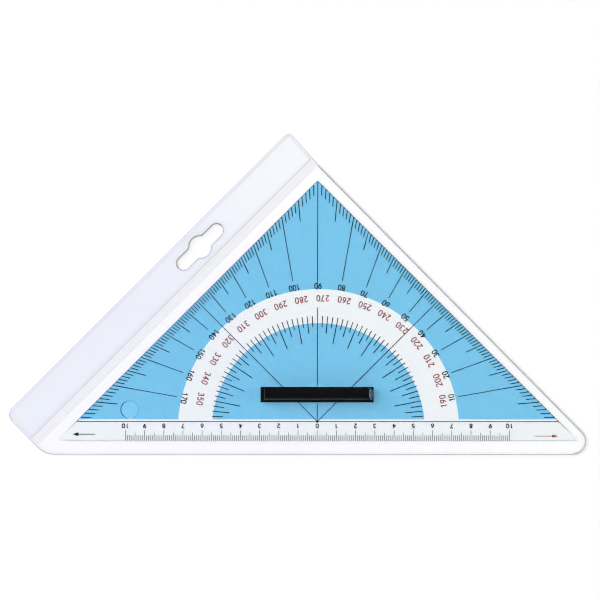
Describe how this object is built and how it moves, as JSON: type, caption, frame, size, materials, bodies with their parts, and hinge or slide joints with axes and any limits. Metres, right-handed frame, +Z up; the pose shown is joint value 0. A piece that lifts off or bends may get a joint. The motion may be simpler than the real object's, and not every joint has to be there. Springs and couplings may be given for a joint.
{
  "type": "navigation triangle",
  "caption": "Clear right-angled protractor triangle with a compass scale, bevelled ruler edge and black grip, over a printed card in a clear film pouch with a hanging slot.",
  "frame": {"origin": "on the pouch's underside, straight below the protractor's zero", "axes": "+X along the ruler edge to the plate's right-hand corner, +Y from the ruler edge to the right-angled corner, +Z up out of the printed side"},
  "size_m": [0.3009, 0.1674, 0.011],
  "materials": {
    "pouch_film": "clear gloss film",
    "header_film": "clear gloss film with a faint blue tint",
    "card": "smooth print",
    "clear_plate": "clear gloss",
    "grip": "gloss"
  },
  "bodies": {
    "pouch": {"back_film": "pouch_film", "header_strip": "header_film", "front_film": "pouch_film"},
    "card": {"printed_card": "card"},
    "triangle": {"triangle_plate": "clear_plate", "handle": "grip"}
  },
  "joints": [
    {"name": "triangle_slide", "type": "slide", "parent": "pouch", "child": "triangle", "axis": [-0.7071, 0.7071, 0], "range_m": [0, 0.225], "deforming": ["front_film"]},
    {"name": "card_slide", "type": "slide", "parent": "pouch", "child": "card", "axis": [-0.7071, 0.7071, 0], "range_m": [0, 0.225]}
  ]
}
